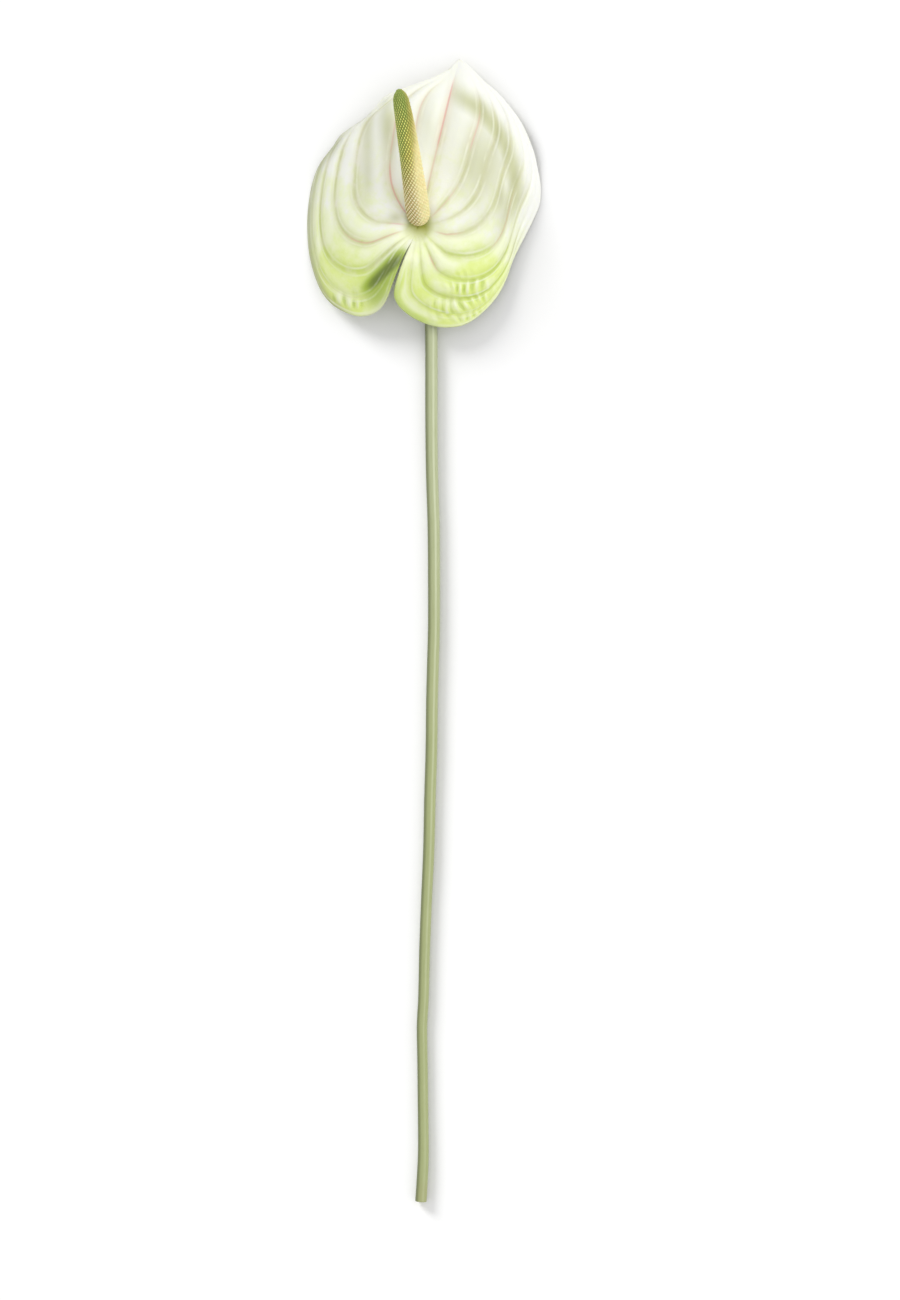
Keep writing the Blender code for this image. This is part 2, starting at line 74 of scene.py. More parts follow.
# Pink stretches of the veins: vein, nearest and farthest distance from the junction, strength.
LEFT_PINK = (
    (0.0, 40.0, 82.0, 0.95), (0.0, 16.0, 50.0, 0.35), (0.33, 6.0, 40.0, 0.9), (0.33, 38.0, 66.0, 0.4),
    (0.58, 5.0, 20.0, 0.55), (0.72, 8.0, 42.0, 0.5), (0.18, 40.0, 74.0, 0.3),
)
RIGHT_PINK = (
    (0.0, 40.0, 82.0, 0.95), (0.0, 16.0, 50.0, 0.35), (0.22, 46.0, 72.0, 0.45), (0.22, 6.0, 32.0, 0.25),
    (0.50, 8.0, 26.0, 0.45), (0.77, 14.0, 28.0, 0.6), (0.65, 38.0, 56.0, 0.3),
)

SPATHE_THICKNESS = 1.0
MARGIN_THICKNESS = 0.75
EDGE_ROUNDING = 0.45
# The crowned form: the navel round the junction, the fall to the margin, the raised sides of the
# notch, the keel under the midrib and the waves of the margin.
NAVEL_HEIGHT = 19.0
NAVEL_DEPTH = 4.5
NAVEL_RADIUS = 9.0
NAVEL_MIDDLE = 0.3
FALL_POWER = 2.4
SINUS_RAISE = 4.5
SINUS_RAISE_WIDTH = 6.5
KEEL_DEPTH = 2.6
KEEL_WIDTH = 6.0
WAVE_HEIGHT = 0.9
PILLOW_HEIGHT = 1.45
FULL_PILLOW_WIDTH = 9.0
WRINKLE_HEIGHT = 0.8
WRINKLE_PITCH = 4.2
# Blistered patches of the lobes: x, y, and how far each reaches in x and in y.
WRINKLE_PATCHES = ((19.0, -43.5, 15.0, 6.0), (28.0, -33.0, 12.0, 8.0), (-37.0, -38.5, 11.0, 5.0))
# The deep fold beside the notch on the left: its middle, its direction, half its length and width.
FOLD = (-17.5, -24.0, -0.72, -0.69, 15.0, 4.2)
FOLD_DEPTH = 1.3
# The fold's bed is painted dark as shade, and half as dark over a wider stretch just below it.
FOLD_SHADE_SHIFT = (0.0, -5.0)
FOLD_SHADE_WIDENING = 2.1
# Painted shade of the valleys of the upper leaf: x, y, reach in x and in y, strength in the left and right half.
VALLEY_SHADE_PATCHES = (
    (33.0, 31.0, 15.0, 24.0, 0.0, 0.85), (43.0, 14.0, 7.0, 12.0, 0.0, 0.8),
    (-12.0, 4.5, 4.0, 3.0, 0.7, 0.0), (-16.0, 53.0, 4.2, 15.0, 0.75, 0.75),
    (6.0, 50.0, 5.0, 15.0, 0.35, 0.35),
)
# A straight valley of painted shade in the left half, up from its lower end: x, half its width and its strength.
STRAIGHT_VALLEY_SHADE = (-26.5, 3.4, 0.55)
# Distances from the margin: the rolled band on the right painted white as highlight, the painted shade
# of the valley beside it and of the left rim, and the right lobe's hem painted as shade with its pale line.
BAND_WIDTH = 7.5
RIM_VALLEY_GAP = 13.5
RIM_VALLEY_WIDTH = 5.5
LEFT_RIM_WIDTH = 3.0
HEM_WIDTH = 3.2
HEM_LINE_GAP = 4.8
HEM_LINE_WIDTH = 1.3
LEAF_ROWS = 104
LEAF_COLUMNS = 216
MARGIN_SAMPLES = 400
MARGIN_SOFTENING = 41
ARC_SAMPLES = 3000
# The markings of the right half are taken this much farther along, so that the halves differ.
RIGHT_ARC_SHIFT = 400.0

# The stem's centre line from the junction to the cut: x, y, height of its underside, radius.
STEM_LINE = (
    (0.3, 2.0, 19.5, 4.1), (0.3, -2.0, 14.6, 3.9), (1.2, -7.0, 10.2, 3.6), (2.6, -14.2, 6.4, 3.4),
    (4.2, -24.0, 3.2, 3.3), (5.4, -34.0, 1.3, 3.28), (6.3, -44.0, 0.4, 3.28), (6.7, -54.0, 0.0, 3.28),
    (6.8, -64.0, 0.0, 3.28), (6.8, -84.0, 0.0, 3.28), (6.8, -104.0, 0.0, 3.25), (7.1, -130.0, 0.0, 3.2),
    (7.9, -156.0, 0.0, 3.2), (8.1, -182.0, 0.0, 3.18), (8.1, -208.0, 0.0, 3.15), (7.8, -222.0, 0.0, 3.15),
    (7.1, -248.0, 0.0, 3.12), (6.8, -274.0, 0.0, 3.1), (6.0, -300.0, 0.0, 3.05), (5.4, -327.0, 0.0, 3.0),
    (4.2, -353.0, 0.0, 2.9), (3.2, -379.0, 0.0, 2.85), (2.6, -405.0, 0.0, 2.8), (1.8, -419.0, 0.0, 2.78),
    (2.1, -438.0, 0.0, 2.76), (2.4, -464.0, 0.0, 2.78), (2.6, -484.0, 0.0, 2.85), (2.1, -498.0, 0.0, 2.95),
    (1.3, -511.0, 0.0, 3.05),
)
STEM_PIECES = 10
STEM_SIDES = 48
STEM_RINGS = 420
STEM_SOFTENING = 9
STEM_SEAM = 0.3
CLEAR_OF_TOP_RING = 0.8
CUT_ROUNDING = 0.45
CUT_SLOPE = 0.12
# Rings of the cut face, as shares that are then scaled to the rounded edge, and the face's dish.
CUT_RINGS = (0.7, 0.4, 0.15)
EDGE_SHARE = 0.86
FACE_SHARE = 0.9
CUT_DISH = 0.12
CUT_RIM_RAISE = 0.036
# Distances past the last ring of the skin: where the cut's colour starts, and where its face lies.
CUT_COLOUR_START = 0.6
CUT_FACE = 2.0

# Control points of the spadix's centre line, and its radius against the share of its length.
SPADIX_BEND = ((0.2, 4.6, 20.3), (-1.0, 12.5, 35.0), (-5.0, 44.0, 50.0), (-10.0, 69.5, 54.0))
SPADIX_RADIUS = (
    (0.0, 5.3), (0.05, 5.8), (0.15, 5.9), (0.35, 5.45), (0.55, 5.0), (0.75, 4.55), (0.88, 4.05),
    (0.94, 3.6), (0.975, 2.8), (0.993, 1.7), (1.0, 0.8),
)
FLORETS_AROUND = 20
FLORET_RINGS = 62
FLORET_HEIGHT = 0.5
SPADIX_TWIST = 0.9
SPADIX_COLUMNS = 240
SPADIX_STEPS = 400
SPADIX_SAMPLES = 400
SPADIX_SOFTENING = 13
SPADIX_SEAM = 0.15
FARTHEST_START = 0.3
TIP_OVERHANG = 0.45

# The floor and the camera are in metres. FRAME_HEIGHT is how high the picture is at the object.
FLOOR_SIZE = 14.0
FLOOR_DROP = 0.0003
CAMERA_HEIGHT = 5.0
FRAME_HEIGHT = 0.6831
# The middle of the picture in the working frame.
FRAME_MIDDLE = (16.55, -221.8)
SENSOR_WIDTH = 36.0
WORLD_STRENGTH = 0.5


def ease(value, low, high):
    """A smooth step from 0 at low to 1 at high."""
    share = np.clip((value - low) / (high - low), 0.0, 1.0)
    return share * share * (3.0 - 2.0 * share)


def smooth_line(points, pieces=12):
    """A smooth curve through the points, with each gap between two of them cut into pieces."""
    points = np.array(points, float)
    before = np.vstack((2 * points[0] - points[1], points[:-1]))
    after = np.vstack((points[1:], 2 * points[-1] - points[-2]))
    line = []
    for index in range(len(points) - 1):
        first, second = points[index], points[index + 1]
        pull_in = (after[index] - before[index]) / 2
        pull_out = (after[index + 1] - before[index + 1]) / 2
        for piece in range(pieces):
            t = piece / pieces
            line.append(
                (2 * t**3 - 3 * t**2 + 1) * first
                + (t**3 - 2 * t**2 + t) * pull_in
                + (3 * t**2 - 2 * t**3) * second
                + (t**3 - t**2) * pull_out
            )
    line.append(points[-1])
    return np.array(line)


def lengths_along(line):
    """Distance walked from the first point to each point of a line."""
    steps = np.linalg.norm(np.diff(line[:, :3], axis=0), axis=1)
    return np.concatenate(([0.0], np.cumsum(steps)))


class Half:
    """One side of the spathe, with its margin seen from the point where the stem is joined."""

    def __init__(self, margin, side, sinus_angle, veins, pink, tuck):
        line = smooth_line(margin)
        tip = np.array(margin[0])
        self.side = side
        self.veins = np.array(veins)
        self.pink = pink
        self.length = math.hypot(tip[0], tip[1])
        self.midrib_angle = math.atan2(tip[1], tip[0])
        turn = side * (np.arctan2(line[:, 1], line[:, 0]) - self.midrib_angle)
        self.angle = np.where(turn < -0.5, turn + 2 * math.pi, turn)
        self.angle[0] = 0.0
        self.radius = np.hypot(line[:, 0], line[:, 1])
        self.arc = lengths_along(line[:, :2])
        even = np.linspace(0.0, self.arc[-1], MARGIN_SAMPLES)
        window = np.ones(MARGIN_SOFTENING) / MARGIN_SOFTENING
        level = np.pad(np.interp(even, self.arc, self.radius), MARGIN_SOFTENING // 2, mode="edge")
        self.soft_radius = np.interp(self.arc, even, np.convolve(level, window, mode="valid"))
        self.end_angle = self.angle[-1]
        start = int(np.argmax(self.angle >= sinus_angle))
        share = self.angle / self.end_angle
        rest = (self.arc - self.arc[start]) / (self.arc[-1] - self.arc[start])
        share = np.where(rest > 0, share[start] + (1 - share[start]) * rest, share)
        self.share = np.maximum.accumulate(share)
        # Where the margin draws in to the tip, the cross lines do too, so that no row leaves the leaf.
        degrees = np.degrees(self.angle)
        drawn_in = tuck * (1 - np.exp(-degrees / 5.0)) * np.exp(-(((degrees - 5.0) / 28.0) ** 2))
        self.root = self.length * (1 - self.share) - drawn_in
        # Towards the tip the side veins drift out to the margin.
        self.drift = 1 + np.log1p(np.exp((80.0 - degrees) / 8.0)) * 8.0 / 75.0
        outer = np.maximum.accumulate(self.angle[: start + 1])
        self.edge_angle = outer + 1e-9 * np.arange(len(outer))
        self.edge_radius = self.radius[: start + 1]
        self.edge_height = line[: start + 1, 2]

    def place(self, lateral, arc):
        """Turn from the midrib and distance from the junction of points between midrib and margin."""
        lateral = 1 - (1 - lateral) ** np.interp(arc, self.arc, self.drift)
        angle = np.interp(arc, self.arc, self.angle)
        soft = np.interp(arc, self.arc, self.soft_radius)
        reach = soft + (np.interp(arc, self.arc, self.radius) - soft) * lateral**6
        root = np.interp(arc, self.arc, self.root)
        blend = 0.6 * lateral + 0.4 * lateral**3
        return lateral * angle, (1 - blend) * root + blend * reach

    def plan(self, turn, reach):
        """Plan points from the turn and the distance."""
        angle = self.midrib_angle + self.side * turn
        return np.stack((reach * np.cos(angle), reach * np.sin(angle)), axis=-1)

    def form(self, turn, reach):
        """Height of the middle of the blade, without its veins."""
        edge = np.interp(turn, self.edge_angle, self.edge_radius)
        edge_height = np.interp(turn, self.edge_angle, self.edge_height)
        out = np.clip(reach / edge, 0.0, 1.05)
        crown = NAVEL_HEIGHT + NAVEL_DEPTH * (1 - np.exp(-((reach / NAVEL_RADIUS) ** 2)))
        fall = out**FALL_POWER
        height = crown * (1 - fall) + edge_height * fall
        from_sinus = np.maximum(self.end_angle - turn, 0.0) * reach
        along_sinus = ease(reach, 7.0, 20.0) * (1 - ease(reach, 38.0, 52.0))
        height += SINUS_RAISE * np.exp(-((from_sinus / SINUS_RAISE_WIDTH) ** 2)) * along_sinus
        from_midrib = turn * reach
        keel = np.exp(-((from_midrib / KEEL_WIDTH) ** 1.2)) * ease(reach, 25.0, 75.0)
        height -= KEEL_DEPTH * keel
        wave = np.sin(4.7 * turn + 1.3 * self.side) + 0.5 * np.sin(9.1 * turn + 2.0)
        height += WAVE_HEIGHT * wave * out**6 * ease(turn, 0.15, 0.5) * (1 - ease(turn, 1.2, 1.5))
        return height

    def relief(self, lateral, arc, plan):
        """Height of pillows and wrinkles, place up the pillow, wrinkle share and how clear veins are."""
        reach = np.linalg.norm(plan, axis=-1)
        share = np.interp(arc, self.arc, self.share)
        band = np.clip(np.searchsorted(self.veins, lateral, side="right") - 1, 0, len(self.veins) - 2)
        low, high = self.veins[band], self.veins[band + 1]
        across = np.clip((lateral - low) / (high - low), 0.0, 1.0)
        pillow = 0.5 - 0.5 * np.cos(2 * math.pi * across)
        pillow = 0.6 * pillow + 0.4 * (1 - np.abs(2 * across - 1) ** 2.4)
        width = np.clip((high - low) * reach / FULL_PILLOW_WIDTH, 0.0, 1.0)
        rim = band == len(self.veins) - 2
        # The veins are lost near the tip, towards the upper margins and in the rolled right rim.
        lost = ease(lateral, 0.45, 0.75) * ease(np.interp(arc, self.arc, self.drift), 1.04, 1.4)
        rolled = (self.side < 0) * ease(plan[..., 1], -12.0, 10.0) * ease(lateral, 0.8, 0.87)
        clear = ease(reach, 4.0, 20.0) * ease(share, 0.03, 0.26) * (1 - 0.8 * np.maximum(lost, rolled))
        clear = clear * (0.75 + 0.25 * np.sin(arc / 13.0 + 4.1 * band + self.side))
        patch = np.zeros_like(arc)
        for centre_x, centre_y, wide, deep in WRINKLE_PATCHES:
            away = ((plan[..., 0] - centre_x) / wide) ** 2 + ((plan[..., 1] - centre_y) / deep) ** 2
            patch = np.maximum(patch, np.exp(-(away**1.5)))
        x, y = plan[..., 0], plan[..., 1]
        sway = 1.8 * np.sin(y / 3.7 + 1.4 * np.sin(x / 6.3)) + 1.3 * np.sin(x / 5.2 + 2.0 * band)
        ridge = np.sin(2 * math.pi * (0.97 * x + 0.25 * y) / WRINKLE_PITCH + sway)
        blobs = 0.7 + 0.3 * np.sin(y / 1.3 + 1.6 * np.sin(x / 2.9))
        envelope = 0.45 + 0.55 * np.where(rim, np.sin(math.pi * across) ** 2, pillow)
        wrinkle = ridge * blobs * patch * envelope * ease(1 - lateral, 0.0, 0.03)
        swell = 1 + 0.25 * np.sin(arc / 10.0 + 2.6 * band) + 0.12 * np.sin(arc / 4.3 + 1.1 * band)
        height = PILLOW_HEIGHT * pillow * clear * ~rim * (0.35 + 0.65 * width) * swell
        height += WRINKLE_HEIGHT * wrinkle - FOLD_DEPTH * fold_share(plan) * (self.side > 0)
        crest = np.where(rim, 0.8, pillow * clear + 0.75 * (1 - clear))
        return height, crest, wrinkle, clear


def fold_share(plan, wider=1.0):
    """How far each plan point lies in the bed of the fold."""
    x, y, ahead_x, ahead_y, half_length, half_width = FOLD
    off = plan - np.array((x, y))
    along = off[..., 0] * ahead_x + off[..., 1] * ahead_y
    across = off[..., 0] * ahead_y - off[..., 1] * ahead_x
    return np.exp(-((along / half_length) ** 4) - (across / half_width / wider) ** 2)


def margin_gap(plan, margin):
    """Distance of each plan point from the margin line."""
    gap = np.full(plan.shape[:-1], np.inf)
    for start, end in zip(margin[:-1], margin[1:]):
        step = end - start
        share = np.clip((plan - start) @ step / max(step @ step, 1e-9), 0.0, 1.0)
        gap = np.minimum(gap, np.linalg.norm(plan - start - share[..., None] * step, axis=-1))
    return gap


def pink_share(half, nearest, reach):
    """How pink the nearest vein is at each point."""
    pink = np.zeros_like(reach)
    for vein, near, far, strength in half.pink:
        own = np.abs(half.veins[nearest] - vein) < 1e-6
        reach_fade = ease(reach, near, near + 6) * (1 - ease(reach, far - 10, far))
        pink = np.maximum(pink, own * strength * reach_fade)
    return pink


def valley_share(right, x, y, rim_gap):
    """How far each point lies in one of the valleys of painted shade."""
    painted_valley_shade = right * ease(y, -10.0, 16.0) * (1 - ease(y, 62.0, 80.0))
    painted_valley_shade = painted_valley_shade * np.exp(-(((rim_gap - RIM_VALLEY_GAP) / RIM_VALLEY_WIDTH) ** 2))
    for middle_x, middle_y, wide, deep, left_strength, right_strength in VALLEY_SHADE_PATCHES:
        strength = right_strength if right else left_strength
        patch = np.exp(-(((x - middle_x) / wide) ** 2) - ((y - middle_y) / deep) ** 2)
        painted_valley_shade = np.maximum(painted_valley_shade, strength * patch)
    middle_x, wide, strength = STRAIGHT_VALLEY_SHADE
    straight = ease(y, 4.0, 26.0) * np.exp(-(((x - middle_x) / wide) ** 2))
    return np.maximum(painted_valley_shade, strength * (1 - right) * straight)


def markings(half, plan, rim_gap):
    """Where each colour of the leaf lies, painted shade and highlight among them, as shares from 0 to 1."""
    x, y = plan[..., 0], plan[..., 1]
    right = float(half.side < 0)
    green = 0.2 * ease(-y, -75.0, -15.0) + 0.22 * ease(-x, 5.0, 45.0) * ease(-y, -50.0, -5.0)
    green += (0.5 + 0.2 * right) * ease(-y, -14.0 - 6.0 * right, 34.0)
    wide_fold = fold_share(plan - np.array(FOLD_SHADE_SHIFT), FOLD_SHADE_WIDENING)
    # The right lobe's rolled edge beside the notch is painted a darker green as shade, with a pale line inside
    # it.
    beside = right * ease(-y, 22.0, 36.0) * (1 - ease(x, 0.0, 16.0))
    return {
        "green": green,
        "painted_valley_shade": valley_share(right, x, y, rim_gap),
        "band": right * ease(y, -14.0, 12.0) * np.exp(-((rim_gap / BAND_WIDTH) ** 4)),
        # The left rim is painted dark as shade where it rolls back.
        "rolled": (1 - right) * np.exp(-((rim_gap / LEFT_RIM_WIDTH) ** 2)) * ease(-x, 30.0, 46.0),
        "fold_shade": (1 - right) * np.maximum(fold_share(plan), 0.5 * wide_fold),
        "hem_shade": beside * np.exp(-((rim_gap / HEM_WIDTH) ** 4)),
        "hem_line": beside * np.exp(-(((rim_gap - HEM_LINE_GAP) / HEM_LINE_WIDTH) ** 2)),
    }


def leaf_half(half):
    """Rows of points from the midrib out to the margin, each running from the tip to the junction."""
    fine = np.linspace(0.0, 1.0, 2001)
    spread = 0.5 * fine + 0.5 * (0.6 * fine + 0.4 * fine**3)
    lateral = np.interp(np.linspace(0.0, 1.0, LEAF_ROWS + 1), spread, fine)
    for vein in half.veins:
        lateral[np.argmin(np.abs(lateral - vein))] = vein
    share = np.interp(np.linspace(0, half.arc[-1], ARC_SAMPLES), half.arc, half.share)
    # The columns stand closer in the lobes, where the wrinkles are.
    pace = np.concatenate(([0.0], np.cumsum(1 + 0.7 * ease(share[1:], 0.45, 0.6) * (share[1:] < 0.97))))
    even = np.linspace(0.0, pace[-1], LEAF_COLUMNS + 1)
    arc = np.interp(even, pace, np.linspace(0, half.arc[-1], ARC_SAMPLES))
    lateral_grid, arc_grid = np.meshgrid(lateral, arc, indexing="ij")
    turn, reach = half.place(lateral_grid, arc_grid)
    plan = half.plan(turn, reach)
    relief, crest, wrinkle, clear = half.relief(lateral_grid, arc_grid, plan)
    step = np.gradient(plan, axis=0)
    per_row = np.linalg.norm(step, axis=2) / np.maximum(np.gradient(lateral)[:, None], 1e-6)
    from_vein = np.abs(lateral_grid[..., None] - half.veins[None, None, :])
    rim_gap = margin_gap(plan, plan[-1])
    return {
        "plan": plan, "form": half.form(turn, reach), "relief": relief, "crest": crest,
        "wrinkle": wrinkle, "clear": clear, "lateral": lateral_grid, "arc": arc_grid, "reach": reach,
        "vein_gap": from_vein.min(axis=2) * per_row, "rim_gap": rim_gap,
        "pink": pink_share(half, np.argmin(from_vein, axis=2), reach),
        **markings(half, plan, rim_gap),
    }


# What each point of the leaf carries for its material.
VALUES = ("crest", "wrinkle", "vein_gap", "rim_gap", "pink", "green", "lateral", "arc", "clear", "band",
          "painted_valley_shade", "rolled", "fold_shade", "hem_shade", "hem_line", "reach")


def leaf_points():
    """Both halves as one set of points and triangles seen from above, with the margin as a ring."""
    halves = (
        Half(LEFT_MARGIN, 1, LEFT_SINUS_ANGLE, LEFT_VEINS, LEFT_PINK, LEFT_TUCK),
        Half(RIGHT_MARGIN, -1, RIGHT_SINUS_ANGLE, RIGHT_VEINS, RIGHT_PINK, RIGHT_TUCK),
    )
    grids = [leaf_half(half) for half in halves]
    rows, columns = LEAF_ROWS + 1, LEAF_COLUMNS + 1
    index = np.arange(2 * rows * columns).reshape(2, rows, columns)
    # The midrib is shared, each tip is one point, and both margins end at the apex of the notch.
    index[1, 0, :] = index[0, 0, :]
    index[:, :, 0] = index[0, 0, 0]
    index[1, -1, -1] = index[0, -1, -1]
    flat = {key: np.concatenate([grid[key].reshape(rows * columns, -1) for grid in grids])
            for key in ("plan", "form", "relief") + VALUES}
    flat["arc"][rows * columns:] += RIGHT_ARC_SHIFT
    quads = []
    for side, grid in enumerate(index):
        a, b, c, d = grid[:-1, :-1], grid[1:, :-1], grid[1:, 1:], grid[:-1, 1:]
        corners = np.stack((a, b, c, d), axis=-1).reshape(-1, 4)
        quads.append(corners if side == 0 else corners[:, ::-1])
    quads = np.concatenate(quads)
    triangles = np.concatenate((quads[:, [0, 1, 2]], quads[:, [0, 2, 3]]))
    # The small space round the junction is closed with a fan.
    throat = list(index[0, :, -1]) + list(index[1, -2:0:-1, -1])
    middle = 2 * rows * columns
    for key, value in flat.items():
        flat[key] = np.vstack((value, value[throat].mean(axis=0)))
    flat["form"][middle] = NAVEL_HEIGHT + NAVEL_MIDDLE
    ring = throat + throat[:1]
    fan = [(ring[k + 1], ring[k], middle) for k in range(len(throat))]
    triangles = np.concatenate((triangles, np.array(fan)))
    whole = (triangles[:, 0] != triangles[:, 1]) & (triangles[:, 1] != triangles[:, 2])
    triangles = triangles[whole & (triangles[:, 0] != triangles[:, 2])]
    margin = list(index[0, -1, :]) + list(index[1, -1, -2:0:-1])
    used = np.zeros(middle + 1, bool)
    used[triangles] = True
    renumber = np.cumsum(used) - 1
    flat = {key: value[used] for key, value in flat.items()}
    return flat, renumber[triangles], [int(renumber[k]) for k in margin]


def normals_of(points, triangles):
    """Normals of a triangle mesh at its points."""
    first, second, third = (points[triangles[:, k]] for k in range(3))
    across = np.cross(second - first, third - first)
    total = np.zeros_like(points)
    for k in range(3):
        np.add.at(total, triangles[:, k], across)
    return total / np.maximum(np.linalg.norm(total, axis=1), 1e-12)[:, None]


def make_object(name, points, faces, values):
    """An object with one point attribute for each of its values, moved from the working frame."""
    mesh = bpy.data.meshes.new(name)
    mesh.from_pydata(((points - CENTRE) * MM).tolist(), [], faces)
    for key, value in values.items():
        layer = mesh.attributes.new(key, "FLOAT", "POINT")
        layer.data.foreach_set("value", np.asarray(value, np.float32).reshape(-1))
    mesh.update()
    mesh.shade_smooth()
    made = bpy.data.objects.new(name, mesh)
    bpy.context.scene.collection.objects.link(made)
    return made


def level_on_surface(top, bottom):
    """Tilts and lowers both faces of the leaf until its left and right margins touch the surface."""
    for _ in range(3):
        low_left = min(bottom[bottom[:, 0] < 0], key=lambda p: p[2])
        low_right = min(bottom[bottom[:, 0] > 0], key=lambda p: p[2])
        slope = (low_right[2] - low_left[2]) / (low_right[0] - low_left[0])
        for points in (top, bottom):
            points[:, 2] -= low_left[2] + slope * (points[:, 0] - low_left[0])


def build_spathe():
    """The leaf, and its two faces for the other pieces to be fitted to."""
    flat, triangles, margin = leaf_points()
    smooth = np.column_stack((flat["plan"], flat["form"]))
    first, second, third = (flat["plan"][triangles[:, k]] for k in range(3))
    a, b = second - first, third - first
    turned = a[:, 0] * b[:, 1] - a[:, 1] * b[:, 0] < 0
    triangles[turned] = triangles[turned][:, ::-1]
    normal = normals_of(smooth, triangles)
    share = flat["lateral"][:, 0] * ease(flat["reach"][:, 0], 10.0, 40.0)
    thickness = SPATHE_THICKNESS + (MARGIN_THICKNESS - SPATHE_THICKNESS) * share
    # The two faces draw together at the margin into a rounded edge.
    closing = np.sqrt(np.clip(flat["rim_gap"][:, 0] / EDGE_ROUNDING, 0.08, 1.0))
    middle = smooth + flat["relief"] * UP
    wall = (0.5 * thickness * closing)[:, None] * normal
    top, bottom = middle + wall, middle - wall
    level_on_surface(top, bottom)
    count = len(top)
    faces = [tuple(face) for face in triangles.tolist()]
    faces += [tuple(count + corner for corner in face[::-1]) for face in triangles.tolist()]
    for here, there in zip(margin, margin[1:] + margin[:1]):
        faces.append((there, here, here + count, there + count))
    values = {key: np.concatenate((flat[key][:, 0], flat[key][:, 0])) for key in VALUES}
    values["back"] = np.concatenate((np.zeros(count), np.ones(count)))
    leaf = make_object("spathe_leaf", np.vstack((top, bottom)), faces, values)
    return leaf, (top, bottom, triangles)


def height_at(points, triangles, spots):
    """Height of a face of the leaf over each plan point."""
    first, second, third = (points[triangles[:, k], :2] for k in range(3))
    a, b = second - first, third - first
    area = a[:, 0] * b[:, 1] - a[:, 1] * b[:, 0]
    good = np.abs(area) > 1e-9
    result = []
    for spot in np.atleast_2d(spots):
        c = spot - first
        with np.errstate(divide="ignore", invalid="ignore"):
            v = (c[:, 0] * b[:, 1] - c[:, 1] * b[:, 0]) / area
            w = (a[:, 0] * c[:, 1] - a[:, 1] * c[:, 0]) / area
        inner = np.where(good, np.minimum(np.minimum(v, w), 1 - v - w), -9.0)
        hit = int(np.argmax(inner))
        heights = points[triangles[hit], 2]
        result.append(heights[0] * (1 - v[hit] - w[hit]) + heights[1] * v[hit] + heights[2] * w[hit])
    return np.array(result)


def frame_along(line):
    """Unit vectors along a line, across it and up from it, at each of its points."""
    ahead = np.gradient(line, axis=0)
    ahead /= np.linalg.norm(ahead, axis=1)[:, None]
    side = np.cross(ahead, UP)
    side /= np.linalg.norm(side, axis=1)[:, None]
    return ahead, side, np.cross(side, ahead)


def tube_faces(rings, sides, first_centre, last_centre):
    """Faces of a tube of rings, closed at both ends with a fan."""
    faces = []
    for k in range(rings - 1):
        for j in range(sides):
            here, there = k * sides + j, k * sides + (j + 1) % sides
            faces.append((here, here + sides, there + sides, there))
    last = (rings - 1) * sides
    for j in range(sides):
        faces.append((j, (j + 1) % sides, first_centre))
        faces.append((last + (j + 1) % sides, last + j, last_centre))
    return faces


def stem_path():
    """Evenly spaced centre line with its radius, and the distance walked to each point."""
    line = smooth_line(STEM_LINE, STEM_PIECES)
    line[:, 2] = np.maximum(line[:, 2], 0.0) + line[:, 3]
    walked = lengths_along(line)
    stops = np.linspace(0.0, walked[-1], STEM_RINGS)
    line = np.column_stack([np.interp(stops, walked, line[:, k]) for k in range(4)])
    window = np.ones(STEM_SOFTENING) / STEM_SOFTENING
    ends = STEM_SOFTENING // 2
    for k in range(3):
        line[ends:-ends, k] = np.convolve(line[:, k], window, mode="valid")
    line[:, 2] = np.maximum(line[:, 2], line[:, 3])
    return line, stops


def cut_end(ring, centre, radius, ahead):
    """Rings round the stem's rounded lower edge and in across its dished face, with their places."""
    rings, places = [], []
    for turn in np.linspace(0.0, math.pi / 2, 6)[1:]:
        shrink = 1 - CUT_ROUNDING / radius * (1 - math.cos(turn))
        rings.append(centre + (ring - centre) * shrink + CUT_ROUNDING * 0.8 * math.sin(turn) * ahead)
        places.append(CUT_ROUNDING * turn)
    edge = rings[-1]
    for shrink in CUT_RINGS:
        dish = -CUT_DISH * (1 - shrink)
        rings.append(centre + (edge - centre) * shrink / EDGE_SHARE * FACE_SHARE + (dish + CUT_RIM_RAISE) * ahead)
        places.append(CUT_FACE)
    return np.array(rings), np.array(places)


